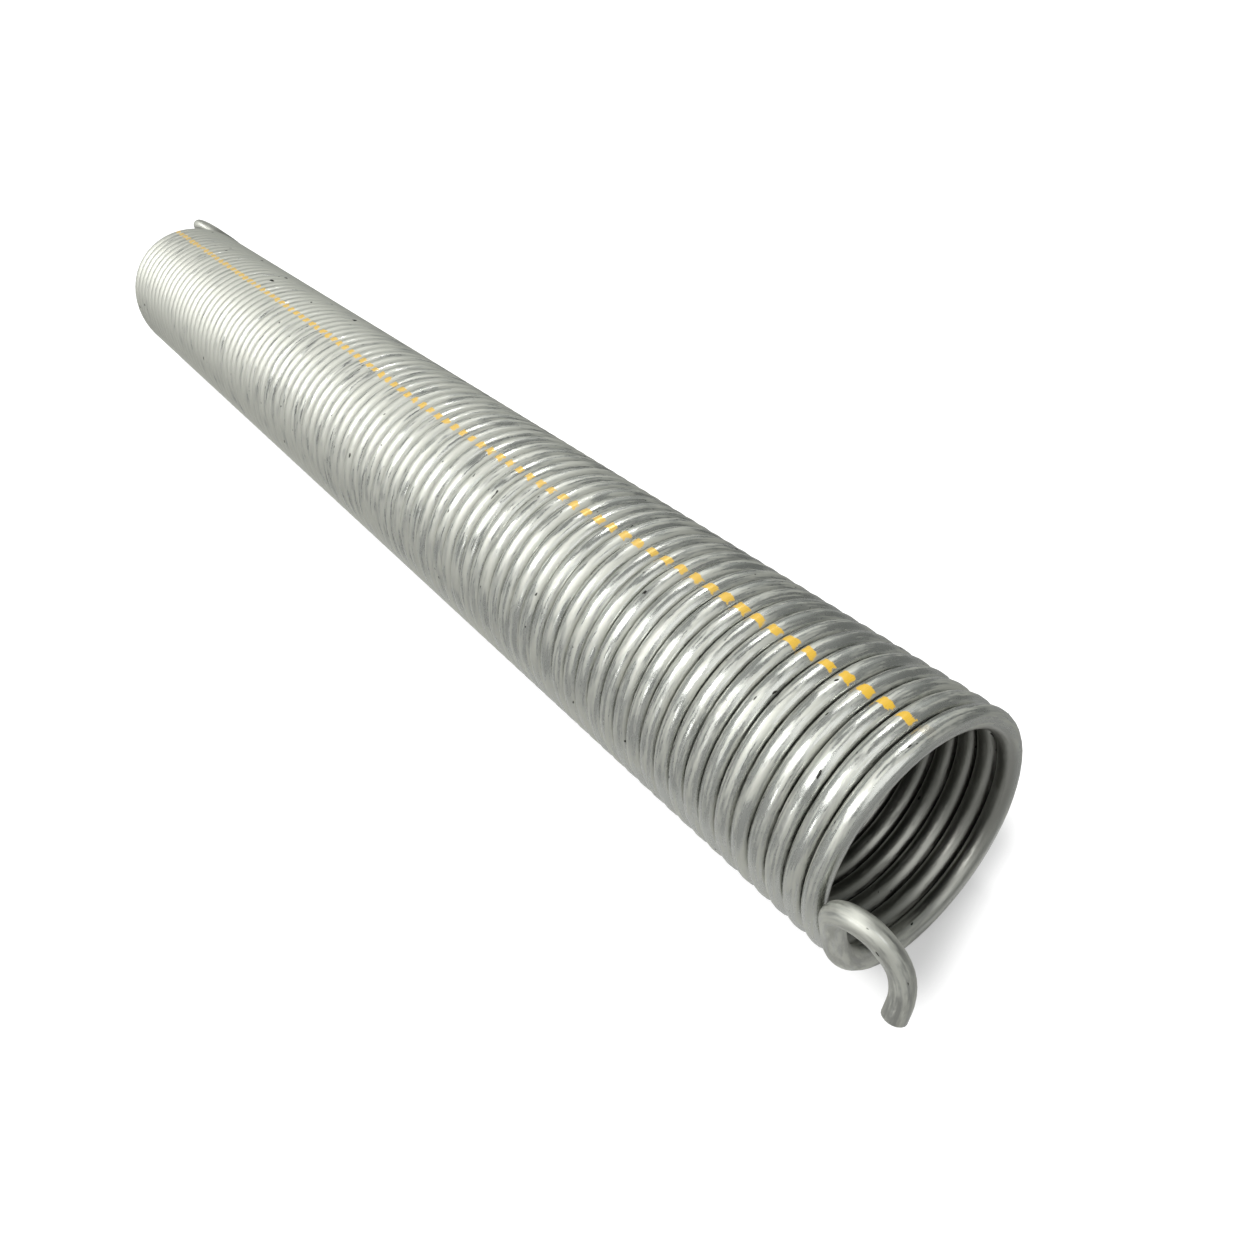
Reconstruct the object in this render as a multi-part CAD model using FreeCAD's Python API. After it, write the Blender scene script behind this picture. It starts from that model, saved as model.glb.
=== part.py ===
"""Garage door torsion spring.

One length of round spring wire, close-wound left-handed on a straight axis, with a hook bent at each
end. The whole spring is a single piece of steel, so it is a single solid: its centre line is laid out
first, bend by bend, and one circle of wire is then swept along it from tip to tip.

The axis of the coil is X. The near end is at +X, Z is up, and the origin is on the axis halfway along
the coil. Clock angles are seen from the near end: 0 is +Y and 90 is +Z.
"""
import FreeCAD, Part
import math
import os

from FreeCAD import Rotation, Vector

# Driving dimensions, in millimetres and degrees.
wire_diameter = 5.0
inner_diameter = 50.0
turn_gap = 0.05            # close-wound turns touch, and this keeps their surfaces just apart
plain_turns = 88.98        # turns between the end turns: the fraction sets the far hook's clock angle
bends_per_turn = 4         # circular bends that make one turn of the winding
near_clock = -56.3         # where the near end turn leaves the plain turns

# The end turn eases off its neighbour: an arc of a slightly larger circle, tilted out a little.
end_turn_ease = 0.4        # added to the coil's mean radius
end_turn_tilt = 2.25
end_turn_arc = 110.0

# The hook rises off the end turn, goes over a tight crown, comes back and flares into a tail.
rise_length = 6.0
eye_radius = 3.9           # inside of the crown
crown_roll = 83.5          # turn of the bending plane, which points the crown away from the coil
crown_arc = 140.0
return_length = 2.1
tail_inside_radius = 10.0
near_tail_roll = 46.0
far_tail_roll = 15.0
tail_arc = 52.7
tip_length = 2.7
tip_chamfer = 0.3          # broken edge of the sheared end

wire_radius = wire_diameter / 2
mean_radius = (inner_diameter + wire_diameter) / 2
pitch = wire_diameter + turn_gap
coil_length = plain_turns * pitch
end_turn_radius = mean_radius + end_turn_ease
crown_radius = eye_radius + wire_radius
tail_radius = tail_inside_radius + wire_radius

along_coil = Vector(1, 0, 0)


class WireEnd:
    """A growing end of the wire's centre line: where it is, which way it points and which way it bends."""

    def __init__(self, centre, tangent, inward):
        self.centre = centre
        self.tangent = tangent
        self.inward = inward
        self.path = []

    def roll(self, angle):
        """Turn the bending plane about the wire, anticlockwise as seen looking along it."""
        self.inward = Rotation(self.tangent, -angle).multVec(self.inward)

    def bend(self, radius, angle):
        """Carry the centre line on round an arc, and give the arc's centre and axis."""
        pivot = self.centre + self.inward * radius
        axis = self.tangent.cross(self.inward)
        half_turn = Rotation(axis, angle / 2)
        turn = Rotation(axis, angle)
        middle = pivot - half_turn.multVec(self.inward) * radius
        end = pivot - turn.multVec(self.inward) * radius
        self.path.append(Part.Arc(self.centre, middle, end).toShape())
        self.centre = end
        self.tangent = turn.multVec(self.tangent)
        self.inward = turn.multVec(self.inward)
        return pivot, axis

    def run(self, distance):
        """Carry the centre line straight on."""
        end = self.centre + self.tangent * distance
        self.path.append(Part.makeLine(self.centre, end))
        self.centre = end


def wind_coil():
    """The plain turns, wound from the far end to the near one, as equal circular bends that climb.

    The wire is rolled a little between bends, so that their ends lie on a left-hand helix.
    """
    bends = round(plain_turns * bends_per_turn)
    half_step = math.radians(180 * plain_turns / bends)
    advance = coil_length / bends
    lead = math.atan(advance / (2 * mean_radius * math.tan(half_step)))
    climb_roll = math.degrees(2 * math.atan(math.sin(lead) * math.tan(half_step)))
    bend_angle = math.degrees(2 * math.asin(math.cos(lead) * math.sin(half_step)))
    bend_radius = math.hypot(mean_radius, advance / (2 * math.sin(half_step))) / math.cos(lead)

    far_clock = math.radians(near_clock + 360 * plain_turns)
    outward = Vector(0, math.cos(far_clock), math.sin(far_clock))
    around = Vector(0, math.sin(far_clock), -math.cos(far_clock))
    centre = along_coil * (-coil_length / 2) + outward * mean_radius
    tangent = around * math.cos(lead) + along_coil * math.sin(lead)
    far_end = WireEnd(centre, tangent * -1, outward * -1)
    near_end = WireEnd(centre, tangent, outward * -1)

    near_end.roll(-climb_roll / 2)
    for _ in range(bends):
        near_end.roll(climb_roll)
        near_end.bend(bend_radius, bend_angle)
    near_end.roll(climb_roll / 2)
    return near_end, far_end


def bend_hook(end, tail_roll):
    """The end turn and its hook, in the order in which a former bends them. Gives the hook's eye."""
    end.roll(end_turn_tilt)
    end.bend(end_turn_radius, end_turn_arc)
    end.run(rise_length)
    end.roll(crown_roll)
    eye = end.bend(crown_radius, crown_arc)
    end.run(return_length)
    end.roll(tail_roll)
    end.bend(tail_radius, tail_arc)
    end.run(tip_length)
    return eye


def sweep_wire(path, start):
    """A solid round wire along a centre line, with the edges of its two sheared ends broken."""
    sweep = Part.BRepOffsetAPI.MakePipeShell(path)
    sweep.add(Part.Wire(Part.makeCircle(wire_radius, start.centre, start.tangent)))
    sweep.build()
    sweep.makeSolid()
    wire = sweep.shape()
    cut_ends = [face for face in wire.Faces if isinstance(face.Surface, Part.Plane)]
    return wire.makeChamfer(tip_chamfer, [face.Edges[0] for face in cut_ends])


near_end, far_end = wind_coil()
print("near plain turns end at", near_end.centre)
print("near hook eye:", *bend_hook(near_end, near_tail_roll))
print("far hook eye:", *bend_hook(far_end, far_tail_roll))
centre_line = Part.Wire(Part.sortEdges(far_end.path + near_end.path)[0])
spring = sweep_wire(centre_line, far_end).Solids[0]

wire_section = math.pi * wire_radius ** 2
print("near tip:", near_end.centre, "far tip:", far_end.centre)
print("wire length:", round(centre_line.Length), "mm")
print("volume over section times length:", round(spring.Volume / (wire_section * centre_line.Length), 6))

os.makedirs("parts", exist_ok=True)
spring.exportStep("parts/torsion_spring.step")
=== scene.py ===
# %% [markdown]
# # A garage door torsion spring
#
# The spring is one length of zinc-coated wire, wound close into a long coil, with a hook bent at each
# end. This lesson dresses a measured model of it: the model gives the size and the place, and the
# cells below make a smoother wire, its finish, the painted line, the light and the camera.
#
# Everything is in metres. The coil's axis is X with the near end at +X, Z is up, and the origin is on
# the axis halfway along. Clock angles are seen from the near end: 0 is +Y and 90 is +Z.

import bmesh
import bpy
import math
from mathutils import Matrix, Vector


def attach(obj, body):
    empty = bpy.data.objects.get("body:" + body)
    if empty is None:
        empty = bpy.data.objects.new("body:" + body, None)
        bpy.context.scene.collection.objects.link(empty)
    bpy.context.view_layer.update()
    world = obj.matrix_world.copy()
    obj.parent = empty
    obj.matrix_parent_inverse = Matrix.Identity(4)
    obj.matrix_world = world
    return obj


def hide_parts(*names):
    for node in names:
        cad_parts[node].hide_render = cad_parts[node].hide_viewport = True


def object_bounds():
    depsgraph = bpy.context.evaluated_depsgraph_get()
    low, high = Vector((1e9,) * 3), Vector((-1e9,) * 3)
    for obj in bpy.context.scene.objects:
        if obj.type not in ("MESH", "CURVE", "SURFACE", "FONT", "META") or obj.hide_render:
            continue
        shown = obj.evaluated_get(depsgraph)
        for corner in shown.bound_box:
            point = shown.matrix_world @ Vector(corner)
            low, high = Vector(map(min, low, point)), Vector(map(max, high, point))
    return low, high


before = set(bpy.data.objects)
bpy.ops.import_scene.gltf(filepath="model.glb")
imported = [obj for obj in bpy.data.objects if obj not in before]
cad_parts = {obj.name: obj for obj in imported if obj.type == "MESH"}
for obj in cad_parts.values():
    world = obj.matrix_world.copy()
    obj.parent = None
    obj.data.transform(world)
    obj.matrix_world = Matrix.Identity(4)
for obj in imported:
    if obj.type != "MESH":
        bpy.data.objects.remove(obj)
model_low, model_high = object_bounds()
print("measured model from", tuple(model_low), "to", tuple(model_high))

# %% [markdown]
# ## The measurements of the wire
#
# A spring maker works from a short list: the wire, the inside diameter, the number of turns, and the
# bends of the hook in the order in which they are made. A list like that is easier to trust than a
# cloud of points, so the wire below is made from the same one.
#
# One value differs. The measured coil is a chain of short arcs, while the one here is a smooth helix,
# which climbs a little more steeply where the end turn begins. A tilt that is a quarter of a degree
# smaller brings the hooks back to within 0.2 mm of the measured ones.

# %% The spring maker's list
MM = 0.001
wire_radius = 2.5 * MM
inner_radius = 25.0 * MM
turn_gap = 0.05 * MM
plain_turns = 88.98
near_clock = math.radians(-56.3)

end_turn_ease = 0.4 * MM
end_turn_tilt = math.radians(2.0)
end_turn_arc = math.radians(110.0)
rise_length = 6.0 * MM
eye_radius = 3.9 * MM
crown_roll = math.radians(83.5)
crown_arc = math.radians(140.0)
return_length = 2.1 * MM
tail_inside_radius = 10.0 * MM
near_tail_roll = math.radians(46.0)
far_tail_roll = math.radians(15.0)
tail_arc = math.radians(52.7)
tip_length = 2.7 * MM
tip_chamfer = 0.3 * MM

mean_radius = inner_radius + wire_radius
pitch = 2 * wire_radius + turn_gap
coil_length = plain_turns * pitch
print("coil", round(coil_length, 4), "m long and", round(2 * (mean_radius + wire_radius), 4), "m across")

# %% [markdown]
# ## How a wire grows
#
# A wire is a circle carried along a path. Blender could bevel a curve, but a bevelled curve twists
# and thins where the hook turns sharply. Here the circle is a ring of vertices, and each step of the
# path is one mesh operator: spin for a bend, extrude for a straight run. The ring is carried like a
# rigid disc, so the wire keeps its full thickness everywhere.
#
# Each vertex also remembers where it was on the straight wire before winding. The attribute
# straight_wire holds that place, and the finish reads it, so marks from drawing run along the wire
# however it is bent.

# %% A free end that bends and runs
sides = 18


def edges_of(parts):
    """The edges among the parts of a mesh."""
    return [part for part in parts if isinstance(part, bmesh.types.BMEdge)]


class FreeEnd:
    """The last ring of a wire that is being made, with its place and its bending plane.

    The direction is 1 for an end that grows towards the near end of the wire, and -1 towards the far.
    """

    def __init__(self, wire, centre, tangent, inward, direction):
        self.wire = wire
        self.centre = centre
        self.tangent = tangent
        self.inward = inward
        self.direction = direction
        self.travelled = 0.0
        self.memory = wire.verts.layers.float_vector.new("straight_wire")
        circle = bmesh.ops.create_circle(wire, segments=sides, radius=wire_radius)["verts"]
        for vertex in circle:
            vertex[self.memory] = (0.0, vertex.co.x, vertex.co.y * direction)
        across = tangent.cross(inward)
        seat = Matrix((inward, across, tangent)).transposed().to_4x4()
        bmesh.ops.transform(wire, matrix=Matrix.Translation(centre) @ seat, verts=circle)
        rim = dict.fromkeys(edge for vertex in circle for edge in vertex.link_edges)
        self.ring = circle + list(rim)

    def roll(self, angle):
        """Turn the bending plane about the wire."""
        self.inward = Matrix.Rotation(-angle, 3, self.tangent) @ self.inward

    def remember(self, count_before, step_length):
        """Write each new ring's distance along the straight wire."""
        self.wire.verts.ensure_lookup_table()
        for number, vertex in enumerate(self.wire.verts[count_before:]):
            distance = self.travelled + (number // sides + 1) * step_length
            place = vertex[self.memory]
            vertex[self.memory] = (distance * self.direction, place.y, place.z)

    def bend(self, radius, angle, largest_step):
        """Spin the ring round an arc."""
        pivot = self.centre + self.inward * radius
        axis = self.tangent.cross(self.inward)
        steps = math.ceil(angle / largest_step)
        count_before = len(self.wire.verts)
        spun = bmesh.ops.spin(
            self.wire, geom=self.ring, cent=pivot, axis=axis, angle=angle, steps=steps, use_duplicate=False
        )
        self.ring = spun["geom_last"]
        self.remember(count_before, radius * angle / steps)
        self.travelled += radius * angle
        turn = Matrix.Rotation(angle, 3, axis)
        self.centre = pivot - turn @ self.inward * radius
        self.tangent = turn @ self.tangent
        self.inward = turn @ self.inward

    def run(self, distance, shrink=0.0):
        """Extrude the ring straight on, drawing it in by shrink."""
        count_before = len(self.wire.verts)
        grown = bmesh.ops.extrude_edge_only(self.wire, edges=edges_of(self.ring))["geom"]
        moved = [part for part in grown if isinstance(part, bmesh.types.BMVert)]
        rim = set(moved)
        self.ring = moved + [edge for edge in edges_of(grown) if set(edge.verts) <= rim]
        about = Matrix.Translation(-self.centre)
        share = 1 - shrink / wire_radius
        bmesh.ops.scale(self.wire, vec=(share, share, share), space=about, verts=moved)
        bmesh.ops.translate(self.wire, vec=self.tangent * distance, verts=moved)
        self.remember(count_before, distance)
        self.travelled += distance
        self.centre = self.centre + self.tangent * distance

    def shear(self):
        """Break the edge of the cut and close it with a flat face."""
        self.run(tip_chamfer, shrink=tip_chamfer)
        bmesh.ops.edgeloop_fill(self.wire, edges=edges_of(self.ring))


def finished_mesh(built, name):
    """The mesh data of a mesh that was being built."""
    made = bpy.data.meshes.new(name)
    built.to_mesh(made)
    built.free()
    return made


print("a ring of wire has", sides, "sides")

# %% [markdown]
# ## Where the winding starts
#
# A coil is a turn about an axis together with a slide along it, like a screw. The screw below carries
# the far end of the coil to any other part of it, so the winding and both hooks find their places with
# one function. The angle is negative, because this coil is wound left-handed.

# %% The far end of the coil and its screw
along_coil = Vector((1, 0, 0))
lead = math.atan(pitch / (math.tau * mean_radius))
far_clock = near_clock + math.tau * plain_turns
far_outward = Vector((0, math.cos(far_clock), math.sin(far_clock)))
far_around = Vector((0, math.sin(far_clock), -math.cos(far_clock)))
far_centre = far_outward * mean_radius - along_coil * coil_length / 2
far_tangent = far_around * math.cos(lead) + along_coil * math.sin(lead)


def screw(part_of_coil):
    """The turn and slide that carry the coil's far end over a part of its length."""
    turn = Matrix.Rotation(-math.tau * plain_turns * part_of_coil, 4, along_coil)
    return Matrix.Translation(along_coil * coil_length * part_of_coil) @ turn


print("the winding climbs at", round(math.degrees(lead), 2), "degrees")

# %% [markdown]
# ## The coil
#
# A spin that also slides along its axis makes a helix: that slide is the operator's dvec. Spinning all
# 89 turns at once is slow, because every step looks through the whole mesh. So one stretch of almost
# a turn is spun, and copies of it are screwed along the axis until they meet end to end.

# %% Wind the plain turns
steps_per_turn = 54
stretches = round(plain_turns)
stretch_angle = math.tau * plain_turns / stretches
stretch_wire = stretch_angle * mean_radius / math.cos(lead)


def wind_stretch():
    """One stretch of the coil, spun from the ring at its far end."""
    stretch = bmesh.new()
    start = FreeEnd(stretch, far_centre, far_tangent, -far_outward, direction=1)
    count_before = len(stretch.verts)
    slide = along_coil * coil_length / stretches / steps_per_turn
    bmesh.ops.spin(
        stretch, geom=start.ring, cent=(0, 0, 0), axis=along_coil, dvec=slide, angle=-stretch_angle,
        steps=steps_per_turn, use_duplicate=False
    )
    start.remember(count_before, stretch_wire / steps_per_turn)
    return finished_mesh(stretch, "stretch")


wire = bmesh.new()
memory = wire.verts.layers.float_vector.new("straight_wire")
stretch_mesh = wind_stretch()
for number in range(stretches):
    count_before = len(wire.verts)
    wire.from_mesh(stretch_mesh)
    wire.verts.ensure_lookup_table()
    added = wire.verts[count_before:]
    bmesh.ops.transform(wire, matrix=screw(number / stretches), verts=added)
    for vertex in added:
        vertex[memory] = vertex[memory] + Vector((number * stretch_wire, 0, 0))
print("coil wound:", len(wire.verts), "vertices in", stretches, "stretches")

# %% [markdown]
# ## The hooks
#
# The last turn leaves its neighbour a little. Then the wire rises, goes over a tight crown away from
# the coil, comes back and flares into a short tail with a sheared end. Both hooks are the same list of
# bends, made from opposite ends of the coil. Only the roll before the tail differs. Each hook grows in
# a small mesh of its own, which is quick, and is then added to the wire.

# %% Bend both hooks
end_turn_step = math.tau / steps_per_turn
hook_step = math.radians(7.5)


def bend_hook(tail_roll, part_of_coil, direction):
    """The end turn and its hook, grown from one end of the coil and added to the wire."""
    hook = bmesh.new()
    carry = screw(part_of_coil)
    turn = carry.to_3x3()
    end = FreeEnd(hook, carry @ far_centre, turn @ far_tangent * direction, turn @ -far_outward, direction)
    end.roll(end_turn_tilt)
    end.bend(mean_radius + end_turn_ease, end_turn_arc, end_turn_step)
    end.run(rise_length)
    end.roll(crown_roll)
    end.bend(eye_radius + wire_radius, crown_arc, hook_step)
    end.run(return_length)
    end.roll(tail_roll)
    end.bend(tail_inside_radius + wire_radius, tail_arc, hook_step)
    end.run(tip_length - tip_chamfer)
    end.shear()
    for vertex in hook.verts:
        vertex[end.memory] = vertex[end.memory] + Vector((part_of_coil * stretches * stretch_wire, 0, 0))
    wire.from_mesh(finished_mesh(hook, "hook"))
    print("hook tip at", tuple(round(x, 4) for x in end.centre))


bend_hook(near_tail_roll, part_of_coil=1, direction=1)
bend_hook(far_tail_roll, part_of_coil=0, direction=-1)

# %% [markdown]
# ## One closed wire
#
# The stretches and hooks meet ring to ring. Merging the doubled rings makes them one closed skin, and
# the normals are then made to point outwards. The wire is shaded smooth, apart from the edges of the
# two cut ends, which stay crisp. It takes the place of the measured spring and rides on the same body.

# %% Join the rings and make the object
merge_distance = 0.02 * MM
crisp_angle = math.radians(40)
bmesh.ops.remove_doubles(wire, verts=wire.verts, dist=merge_distance)
bmesh.ops.recalc_face_normals(wire, faces=wire.faces)
for face in wire.faces:
    face.smooth = True
for edge in wire.edges:
    edge.smooth = edge.calc_face_angle() < crisp_angle
open_edges = sum(not edge.is_manifold for edge in wire.edges)
triangles = sum(len(face.verts) - 2 for face in wire.faces)
print("spring wire:", triangles, "triangles,", open_edges, "open edges")

spring_mesh = finished_mesh(wire, "spring_wire")
spring_wire = bpy.data.objects.new("spring_wire", spring_mesh)
bpy.context.scene.collection.objects.link(spring_wire)
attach(spring_wire, "root")
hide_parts("torsion_spring")

# %% [markdown]
# ## A few helpers for materials
#
# A material is a graph of nodes. In the node editor it would be drawn by hand. In a script, a few short
# helpers keep each graph readable: feed fills a socket with a number or with another node's result,
# ramp turns a value into a soft step, and the rest is arithmetic and noise.


# %% Node helpers
class Graph:
    """A node tree with its output node, and the arithmetic and textures that the finishes need."""

    def __init__(self, tree, output_kind):
        self.nodes = tree.nodes
        self.links = tree.links
        self.nodes.clear()
        self.output = self.add(output_kind)

    def add(self, kind, **settings):
        """A node of a kind, with settings given by name."""
        node = self.nodes.new(kind)
        for name, value in settings.items():
            setattr(node, name, value)
        return node

    def feed(self, socket, value):
        """Link a socket, or set it where the value is a plain number or vector."""
        if isinstance(value, bpy.types.NodeSocket):
            self.links.new(value, socket)
        else:
            socket.default_value = value

    def calculate(self, operation, *values):
        """One arithmetic node."""
        node = self.add("ShaderNodeMath", operation=operation)
        for socket, value in zip(node.inputs, values):
            self.feed(socket, value)
        return node.outputs[0]

    def times(self, first, second):
        """One value times another."""
        return self.calculate("MULTIPLY", first, second)

    def larger(self, first, second):
        """The larger of two values."""
        return self.calculate("MAXIMUM", first, second)

    def weighted(self, *parts):
        """The sum of some values, each after its weight."""
        total = 0.0
        for weight, value in parts:
            total = self.calculate("MULTIPLY_ADD", value, weight, total)
        return total

    def parts(self, vector):
        """The three numbers of a vector."""
        split = self.add("ShaderNodeSeparateXYZ")
        self.feed(split.inputs[0], vector)
        return split.outputs

    def off(self, value, middle):
        """How far a value is from a middle."""
        return self.calculate("ABSOLUTE", self.calculate("SUBTRACT", value, middle))

    def beyond(self, value, middle, half_width):
        """How far a value lies outside a band."""
        return self.larger(self.calculate("SUBTRACT", self.off(value, middle), half_width), 0.0)

    def ramp(self, value, low, high, to_low=0.0, to_high=1.0, smooth=True):
        """Map low..high to to_low..to_high, clamped."""
        kind = "SMOOTHSTEP" if smooth else "LINEAR"
        node = self.add("ShaderNodeMapRange", interpolation_type=kind)
        for socket, number in zip(node.inputs[:5], (value, low, high, to_low, to_high)):
            self.feed(socket, number)
        return node.outputs["Result"]

    def stretched_noise(self, vector, scale, detail, roughness=0.5):
        """Noise whose scale differs along each axis."""
        mapping = self.add("ShaderNodeMapping")
        self.feed(mapping.inputs["Vector"], vector)
        mapping.inputs["Scale"].default_value = scale
        noise = self.add("ShaderNodeTexNoise")
        noise.inputs["Scale"].default_value = 1.0
        noise.inputs["Detail"].default_value = detail
        noise.inputs["Roughness"].default_value = roughness
        self.feed(noise.inputs["Vector"], mapping.outputs["Vector"])
        return noise.outputs["Fac"]

    def curve(self, value, points):
        """A curve through points from (0, ...) to (1, ...)."""
        node = self.add("ShaderNodeFloatCurve")
        line = node.mapping.curves[0].points
        line[0].location, line[1].location = points[0], points[-1]
        for point in points[1:-1]:
            line.new(*point)
        node.mapping.update()
        self.feed(node.inputs["Value"], value)
        return node.outputs[0]

    def mix(self, factor, first, second):
        """One colour over another."""
        node = self.add("ShaderNodeMix", data_type="RGBA")
        self.feed(node.inputs["Factor"], factor)
        self.feed(node.inputs["A"], first)
        self.feed(node.inputs["B"], second)
        return node.outputs["Result"]


def new_material(name):
    """A node material and its empty graph."""
    material = bpy.data.materials.new(name)
    material.use_nodes = True
    return material, Graph(material.node_tree, "ShaderNodeOutputMaterial")


print("helpers for node graphs are ready")

# %% [markdown]
# ## Where the wire lies
#
# The place on the straight wire has three parts: the distance along the wire, the place inwards and the
# place across. They tell where a spot lies. Where two turns lie against each other is a groove, which is
# darkened with painted shade, except at the ends of the coil, where there is no next turn. The inside of
# the coil is darkened with painted shade too, and made rougher. Past the coil the wire has been bent into
# a hook, which crazes its zinc.
#
# A painted mask could hold all this, but it would need an unwrapped surface. Reading it from three
# numbers needs none, and it stays right if the wire or the number of turns is changed.

# %% Grooves, the inside and the hooks
wire_length = math.tau * plain_turns * mean_radius / math.cos(lead)
turn_length = math.tau * mean_radius
half_end_turn = (mean_radius + end_turn_ease) * end_turn_arc / 2
# Where the painted shade in the grooves between turns starts and where it is full.
far_groove_starts = 0.80 * wire_radius
far_groove_full = 0.97 * wire_radius
near_groove_starts = -0.94 * wire_radius
near_groove_full = -wire_radius
next_turn_starts = 0.9 * turn_length
# How far inwards the painted shade inside the coil becomes full.
inside_full = 0.8 * wire_radius


def wire_places(graph, straight):
    """Where the wire is in a groove, inside the coil or bent into a hook, each 0 to 1."""
    along, inward, across = graph.parts(straight)
    past_coil = graph.beyond(along, wire_length / 2, wire_length / 2)
    on_coil = graph.ramp(past_coil, half_end_turn, 0.0)
    bent = graph.ramp(past_coil, 0.0, half_end_turn)

    far_turn_there = graph.ramp(along, next_turn_starts, turn_length)
    near_turn_there = graph.ramp(along, wire_length - next_turn_starts, wire_length - turn_length)
    # The grooves between turns get painted shade.
    far_groove = graph.times(graph.ramp(across, far_groove_starts, far_groove_full), far_turn_there)
    near_groove = graph.times(graph.ramp(across, near_groove_starts, near_groove_full), near_turn_there)
    groove = graph.times(graph.larger(far_groove, near_groove), on_coil)
    # The inside of the coil gets painted shade.
    inside = graph.times(graph.ramp(inward, 0.0, inside_full), on_coil)
    return groove, inside, bent


print("the coil holds", round(wire_length, 3), "m of wire")

# %% [markdown]
# ## Zinc
#
# Drawn and galvanised wire is a soft grey metal that is nowhere even. Fine streaks from drawing run
# along it, cloudy patches are matt where the zinc is thick, and the rest has kept some polish. The
# mixture matters more than any single roughness: polished places give the sharp highlight, matt places
# the wide glow round it. Small dark pits are left by handling.
#
# Each kind of mark is a noise on the straight wire, stretched along it by its three scales. Streaks,
# clouds and a little grain are added up, and one soft step cuts the sum into matt and polished places.

# %% Streaks, clouds and pits
streak_scale = (90, 1600, 1600)
cloud_scale = (110, 420, 420)
grain_scale = (1100, 2600, 2600)
pit_scale = (330, 700, 700)
streak_weight, cloud_weight, grain_weight = 0.5, 0.4, 0.1
# Towards the far end the zinc is made more matt, and so paler in colour: painted light for the brighter far
# half of the coil.
far_end_matt_and_paler = 0.14
bent_adds = 0.06
matt_starts, matt_full = 0.46, 0.60
pits_start, pits_full = 0.76, 0.79
thin_cloud, thick_cloud = 0.40, 0.60
thin_cloud_dulls = 0.55


def zinc_marks(graph, straight, bent):
    """The wire's relief, and where it is matt, pitted, or dull from bending, each 0 to 1."""
    streaks = graph.stretched_noise(straight, streak_scale, detail=3)
    clouds = graph.stretched_noise(straight, cloud_scale, detail=4, roughness=0.6)
    grain = graph.stretched_noise(straight, grain_scale, detail=2)
    pits = graph.stretched_noise(straight, pit_scale, detail=1)
    along = graph.parts(straight)[0]
    # More matt and paler towards the far end: a rougher finish, and painted light for the brighter far half.
    far_end = graph.ramp(along, wire_length, 0.0, smooth=False)
    unevenness = graph.weighted(
        (streak_weight, streaks), (cloud_weight, clouds), (grain_weight, grain),
        (far_end_matt_and_paler, far_end), (bent_adds, bent)
    )
    matt = graph.ramp(unevenness, matt_starts, matt_full)
    pitted = graph.ramp(pits, pits_start, pits_full)
    crazed = graph.times(bent, graph.ramp(clouds, thick_cloud, thin_cloud, 0.0, thin_cloud_dulls))
    relief = graph.weighted((1.0, grain), (1.0, streaks))
    return relief, matt, pitted, crazed


print("the longest streaks are about", round(1000 / streak_scale[0]), "mm long")

# %% [markdown]
# ## The painted line
#
# A row of yellow dabs, one on the crest of each turn, shows how far the spring has been wound up. The
# line is drawn by hand: it wanders up to six degrees round the coil on its way, its edges are ragged,
# and the paint is thick on the first turns and thin on the rest. A float curve holds the wandering and
# a second one the thickness, both read by the distance from the near end. On a curve node each point
# can be moved by eye, which suits something that was drawn by eye.
#
# The brush rides over the crests, so paint ends before the grooves, and it leans to the near side. The
# dabs could be faces of their own, but paint is thinner than any step that the mesh has, so it is a
# part of the wire's material.

# %% Where the paint is
line_clock = math.radians(97.6)
line_half_width = math.radians(2.1)
line_wander = math.radians(6.4)
wander_points = (
    (0, 0), (0.10, 0.0), (0.2, 0.42), (0.32, 0.9), (0.40, 1), (0.5, 0.72), (0.6, 0.38), (0.8, 0.15), (1, 0)
)
paint_points = (
    (0, 0), (0.009, 0.2), (0.013, 1), (0.10, 0.95), (0.22, 0.85), (0.45, 0.85), (0.6, 0.85), (1, 0.7)
)
ragged_scale = (900, 700, 700)
line_raggedness, crest_raggedness = 1.6, 0.6
line_edge_starts, line_edge_full = 1.1, 0.9
crest_edge_starts, crest_edge_full = 0.70, 0.54
brush_leans_by = 0.15 * wire_radius
brush_reaches_down = 0.3 * wire_radius
dabs_shrink_by = 0.18
shrinking_starts, shrinking_ends = 0.1, 0.3


def painted_line(graph, place, straight):
    """How thickly the paint covers the wire, 0 to 1."""
    x, y, z = graph.parts(place)
    from_near_end = graph.ramp(x, coil_length / 2, -coil_length / 2, smooth=False)
    noise = graph.stretched_noise(straight, ragged_scale, detail=3)
    ragged = graph.calculate("SUBTRACT", noise, 0.5)

    wander = graph.curve(from_near_end, wander_points)
    middle = graph.calculate("MULTIPLY_ADD", wander, line_wander, line_clock)
    off_line = graph.off(graph.calculate("ARCTAN2", z, y), middle)
    ragged_line = graph.weighted((1 / line_half_width, off_line), (line_raggedness, ragged))
    on_line = graph.ramp(ragged_line, line_edge_starts, line_edge_full)

    inward, across = graph.parts(straight)[1:]
    off_crest = graph.off(across, -brush_leans_by)
    shrinking = graph.ramp(from_near_end, shrinking_starts, shrinking_ends, 0.0, dabs_shrink_by)
    ragged_crest = graph.weighted((1 / wire_radius, off_crest), (crest_raggedness, ragged), (1.0, shrinking))
    along_crest = graph.ramp(ragged_crest, crest_edge_starts, crest_edge_full)
    on_crest = graph.times(along_crest, graph.ramp(inward, 0.0, -brush_reaches_down))
    return graph.times(graph.times(on_line, on_crest), graph.curve(from_near_end, paint_points))


print("the painted line is", round(2 * line_half_width * (mean_radius + wire_radius) / MM, 1), "mm wide")
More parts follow.
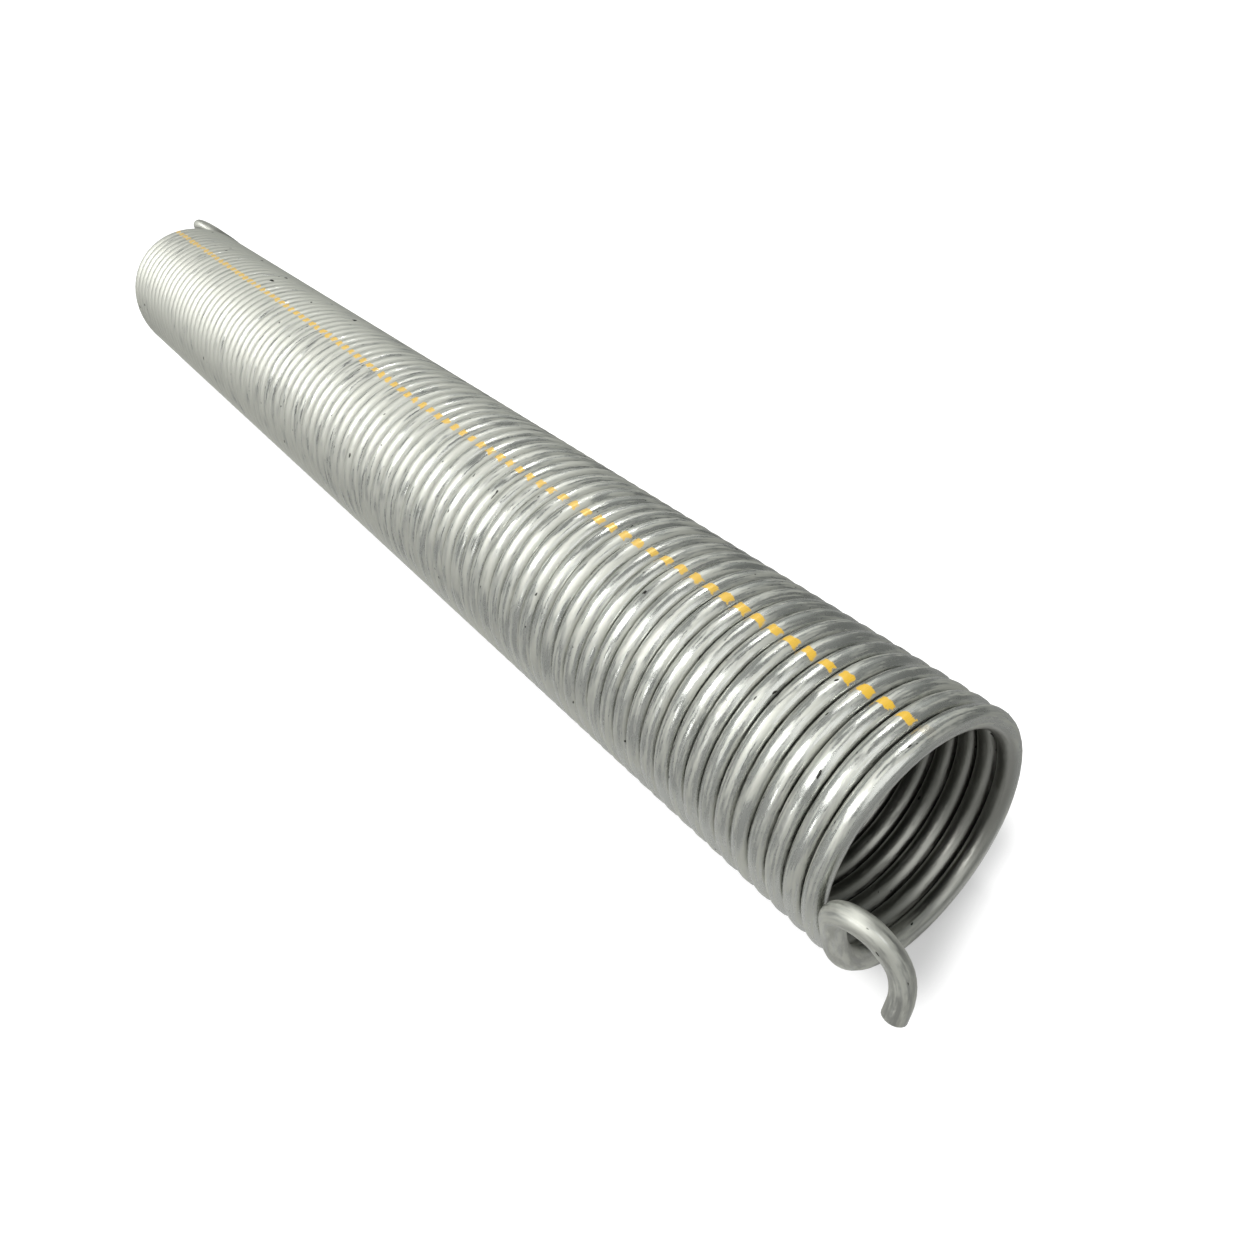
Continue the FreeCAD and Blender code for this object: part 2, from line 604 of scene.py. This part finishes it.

# %% [markdown]
# ## The wire's material
#
# Now the marks are laid over each other: polished and matt zinc, painted shade inside the coil, the
# dullness of the crazed hooks, pits, painted shade in the grooves, and the paint on top.
# One shader does for all of it, because paint differs from zinc only by its colour and by being no
# metal. The relief of streaks and grain is less than 0.05 mm deep, too fine for the mesh, so it is bump.

# %% Put the wire's material together
zinc_pale = (0.63, 0.635, 0.58, 1)
zinc_polished = (0.52, 0.53, 0.50, 1)
# Painted shade inside the coil, and zinc crazed by bending on the hooks.
zinc_shaded_and_crazed = (0.31, 0.31, 0.285, 1)
# The dark of the pits, and the painted shade in the grooves between turns.
pit_and_shade_colour = (0.05, 0.05, 0.045, 1)
paint_colour = (0.78, 0.485, 0.05, 1)
polished_roughness = 0.27
matt_roughness = 0.60
dullness_roughens = 0.4
bump_strength = 0.45
bump_depth = 0.05 * MM


def zinc_with_painted_line():
    """The finish of the whole spring."""
    material, graph = new_material("zinc_wire")
    straight = graph.add("ShaderNodeAttribute", attribute_name="straight_wire").outputs["Vector"]
    place = graph.add("ShaderNodeTexCoord").outputs["Object"]
    groove, inside, bent = wire_places(graph, straight)
    relief, matt, pitted, crazed = zinc_marks(graph, straight, bent)
    # Painted shade inside the coil, and crazed zinc on the hooks.
    shade_and_crazing = graph.larger(inside, crazed)
    paint = painted_line(graph, place, straight)

    colour = graph.mix(matt, zinc_polished, zinc_pale)
    # Darker: painted shade inside the coil, and crazed zinc on the hooks.
    colour = graph.mix(shade_and_crazing, colour, zinc_shaded_and_crazed)
    colour = graph.mix(pitted, colour, pit_and_shade_colour)
    # Painted shade in the grooves between turns.
    colour = graph.mix(groove, colour, pit_and_shade_colour)
    colour = graph.mix(paint, colour, paint_colour)
    no_polish = graph.larger(graph.larger(matt, groove), graph.times(shade_and_crazing, dullness_roughens))
    bump = graph.add("ShaderNodeBump")
    bump.inputs["Strength"].default_value = bump_strength
    bump.inputs["Distance"].default_value = bump_depth
    graph.feed(bump.inputs["Height"], relief)

    shader = graph.add("ShaderNodeBsdfPrincipled")
    graph.feed(shader.inputs["Base Color"], colour)
    graph.feed(shader.inputs["Metallic"], graph.calculate("SUBTRACT", 1.0, paint))
    graph.feed(shader.inputs["Roughness"], graph.ramp(no_polish, 0, 1, polished_roughness, matt_roughness))
    graph.feed(shader.inputs["Normal"], bump.outputs["Normal"])
    graph.feed(graph.output.inputs["Surface"], shader.outputs[0])
    return material


spring_mesh.materials.append(zinc_with_painted_line())
print("zinc and paint on", spring_wire.name)

# %% [markdown]
# ## The floor
#
# The photograph's background is pure white, with one soft shadow beside the near end. A plain white
# floor would be grey at its far edge, and a floor that glows white would show no shadow. So this one
# does both. Within the shadow's footprint it is a pale surface that takes light and shadow, with some
# glow of its own. Outside it the glow grows to full white within two centimetres, without an edge. The
# footprint is a band beside the coil whose end leans towards the hook, as the shadow does.
#
# The glow lights nothing. The camera sees all of it. Reflections see a small share, because the metal
# in the photograph mirrors a room that is greyer than the background: some of it close beside the coil,
# almost none a little farther out, and more again towards the horizon.

# %% Make the floor
floor_size = 8.0
floor_shade = 0.34
shadow_half_length = coil_length / 2 + 0.004
shadow_lean = 0.3
shadow_middle = 0.016
shadow_half_width = 0.020
shadow_fades_over = 0.022
ends_fade_faster = 1.6
glow_in_shadow = 0.38
mirrored_beside, beside_fades_from, beside_fades_to = 0.36, 0.03, 0.06
mirrored_near, near_ends = 0.06, 0.2
mirrored_far_off, far_off_starts = 0.3, 0.7


def white_floor():
    """A shadow catcher that turns into a white background."""
    material, graph = new_material("white_floor")
    x, y, _ = graph.parts(graph.add("ShaderNodeTexCoord").outputs["Object"])
    leaning = graph.weighted((1.0, x), (shadow_lean, y))
    beyond_end = graph.times(graph.beyond(leaning, 0.0, shadow_half_length), ends_fade_faster)
    beside = graph.beyond(y, shadow_middle, shadow_half_width)
    squares = graph.weighted((beyond_end, beyond_end), (beside, beside))
    distance = graph.calculate("SQRT", squares)

    towards_horizon = graph.ramp(distance, near_ends, far_off_starts, mirrored_near, mirrored_far_off)
    close_by = graph.ramp(distance, beside_fades_from, beside_fades_to, mirrored_beside, 0.0)
    rays = graph.add("ShaderNodeLightPath").outputs
    mirrored = graph.times(rays["Is Glossy Ray"], graph.larger(towards_horizon, close_by))
    seen = graph.larger(rays["Is Camera Ray"], mirrored)
    reach = graph.ramp(distance, 0.0, shadow_fades_over, glow_in_shadow, 1.0)
    glow = graph.add("ShaderNodeEmission")
    graph.feed(glow.inputs["Strength"], graph.times(seen, reach))

    surface = graph.add("ShaderNodeBsdfDiffuse")
    surface.inputs["Color"].default_value = (floor_shade, floor_shade, floor_shade, 1)
    both = graph.add("ShaderNodeAddShader")
    graph.feed(both.inputs[0], surface.outputs[0])
    graph.feed(both.inputs[1], glow.outputs[0])
    graph.feed(graph.output.inputs["Surface"], both.outputs[0])
    return material


plate = bmesh.new()
bmesh.ops.create_grid(plate, x_segments=1, y_segments=1, size=floor_size / 2)
bmesh.ops.translate(plate, vec=(0, 0, model_low.z), verts=plate.verts)
floor_mesh = finished_mesh(plate, "floor")
floor_mesh.materials.append(white_floor())
floor = bpy.data.objects.new("floor", floor_mesh)
bpy.context.scene.collection.objects.link(floor)
print("floor at", round(model_low.z, 4), "m")

# %% [markdown]
# ## The room
#
# Metal looks like what it mirrors, so the room matters as much as the wire. A picture of a room could be
# wrapped round the scene. A few soft patches are enough here, and each has its own place and strength:
# grey all round, darker low behind the coil, a paler side at the far left, and a pale corner high at
# the back. The camera sees none of it and gets plain white, as in the photograph.
#
# The patches are found by the direction of a ray. For a paler patch, the dot product of that direction
# and the patch's own is 1 at its centre and falls off around it, and a soft step cuts it to size.

# %% Light the room
room_colour = (0.97, 1.0, 0.98, 1)
room_strength = 0.36
dark_share = 0.68
dark_starts, dark_full = 0.1, 0.5
dark_stays_low = 0.8
bright_side, bright_side_starts, bright_side_adds = (-0.88, -0.47, 0.0), 0.5, 0.26
pale_corner, pale_corner_starts, pale_corner_adds = (-0.45, 0.62, 0.64), 0.86, 0.32

world = bpy.data.worlds.new("room")
world.use_nodes = True
bpy.context.scene.world = world


def patch(graph, direction, towards, starts, adds):
    """What a paler patch of the room adds in a direction."""
    facing = graph.add("ShaderNodeVectorMath", operation="DOT_PRODUCT")
    graph.feed(facing.inputs[0], direction)
    facing.inputs[1].default_value = towards
    return graph.ramp(facing.outputs["Value"], starts, 1.0, 0.0, adds)


def light_room(graph):
    """Grey walls with a few patches for reflections, and white for the camera."""
    direction = graph.add("ShaderNodeTexCoord").outputs["Generated"]
    y, z = graph.parts(direction)[1:]
    low_behind = graph.calculate("MULTIPLY_ADD", z, -dark_stays_low, y)
    walls = graph.ramp(low_behind, dark_starts, dark_full, room_strength, room_strength * dark_share)
    side = patch(graph, direction, bright_side, bright_side_starts, bright_side_adds)
    corner = patch(graph, direction, pale_corner, pale_corner_starts, pale_corner_adds)

    room = graph.add("ShaderNodeBackground")
    room.inputs["Color"].default_value = room_colour
    graph.feed(room.inputs["Strength"], graph.weighted((1.0, walls), (1.0, side), (1.0, corner)))
    backdrop = graph.add("ShaderNodeBackground")
    backdrop.inputs["Color"].default_value = (1, 1, 1, 1)
    either = graph.add("ShaderNodeMixShader")
    graph.feed(either.inputs[0], graph.add("ShaderNodeLightPath").outputs["Is Camera Ray"])
    graph.feed(either.inputs[1], room.outputs[0])
    graph.feed(either.inputs[2], backdrop.outputs[0])
    graph.feed(graph.output.inputs["Surface"], either.outputs[0])


light_room(Graph(world.node_tree, "ShaderNodeOutputWorld"))
print("room lit at", room_strength)

# %% [markdown]
# ## Lamps
#
# Each turn of the wire is a small curved mirror, and in the photograph every near turn shows the same
# three highlights. Where a highlight sits tells where its lamp stands, because the surface there faces
# halfway between the lamp and the camera. That gives a wide soft box beside the camera, a small lamp
# high above and a weak one low at the side.
#
# Two weaker boxes even out the rest: one in front pales the near turns and the hook, and one beside the
# far half brightens it. A photographer would put a grid on a lamp to keep its light off the rest of the
# scene. The lamp's spread does the same: the high lamp is aimed at the near turns and fades along the
# coil, and the far box stays off the near end. Blender keeps a lamp's power when its spread is narrowed,
# so its face gets brighter. The function takes the power down by as much, and radiance stays the
# brightness of the lamp's face seen from the front.


# %% Set the lamps
def soft_lamp(name, place, aim, width, height, radiance, spread=180):
    """A soft box at a place, as bright to look at as radiance, that shines towards aim."""
    half_spread = math.radians(spread / 2)
    share_sent = 1 - half_spread / math.tan(half_spread)
    lamp = bpy.data.lights.new(name, "AREA")
    lamp.shape = "RECTANGLE"
    lamp.size = width
    lamp.size_y = height
    lamp.spread = 2 * half_spread
    lamp.energy = radiance * math.pi * width * height * share_sent
    lamp_object = bpy.data.objects.new(name, lamp)
    back = (Vector(place) - Vector(aim)).normalized()
    side = (along_coil - back * back.x).normalized()
    axes = Matrix((side, back.cross(side), back)).transposed()
    lamp_object.matrix_world = Matrix.Translation(place) @ axes.to_4x4()
    lamp_object.visible_camera = False
    bpy.context.scene.collection.objects.link(lamp_object)
    print(name, "gives", round(lamp.energy, 2), "W")


soft_lamp(
    "camera_side_box", place=(0.12, -0.757, 0.682), aim=(0.05, 0, 0), width=0.8, height=0.38, radiance=6.0
)
soft_lamp(
    "front_box", place=(0.95, -0.22, 0.66), aim=(0.1, 0, 0), width=0.9, height=0.8, radiance=1.2
)
soft_lamp(
    "high_lamp", place=(-0.10, 0.147, 0.716), aim=(0.2, 0, 0), width=0.16, height=0.14, radiance=26.0,
    spread=75
)
soft_lamp(
    "low_lamp", place=(0.225, -0.225, 0.04), aim=(0.2, 0, 0), width=0.035, height=0.035, radiance=8.0
)
soft_lamp(
    "far_box", place=(-0.30, -0.50, 0.45), aim=(-0.24, 0, 0), width=0.5, height=0.3, radiance=5.37,
    spread=60
)

# %% [markdown]
# ## The camera
#
# The photograph is taken from close by, above the near end, so the coil tapers strongly into the
# distance. Turning a camera by eye never quite gets such a taper. This one stands where the outlines of
# the turns in the photograph put it, with its three axes given as directions and a small sideways shift
# of the picture.

# %% Set the camera
camera_place = Vector((0.30039, -0.12579, 0.14979))
camera_right = Vector((0.61644, 0.78740, 0.0))
camera_up = Vector((-0.45618, 0.35713, 0.81508))
camera_back = Vector((0.64179, -0.50245, 0.57935))

camera_data = bpy.data.cameras.new("camera")
camera_data.sensor_width = 36
camera_data.lens = 28.74
camera_data.shift_x = -0.0296
camera_data.clip_start = 0.01
camera_data.clip_end = 50
camera = bpy.data.objects.new("camera", camera_data)
camera_axes = Matrix((camera_right, camera_up, camera_back)).transposed()
camera.matrix_world = Matrix.Translation(camera_place) @ camera_axes.to_4x4()
bpy.context.scene.collection.objects.link(camera)
bpy.context.scene.camera = camera
print("camera", round(camera_place.length, 3), "m from the middle of the coil")

# %% [markdown]
# ## The colours as they are
#
# The dressed spring may not be larger than the measured one. The colours are shown as they are, with
# no film look.

# %% Show the colours as they are
bpy.context.scene.view_settings.view_transform = "Standard"
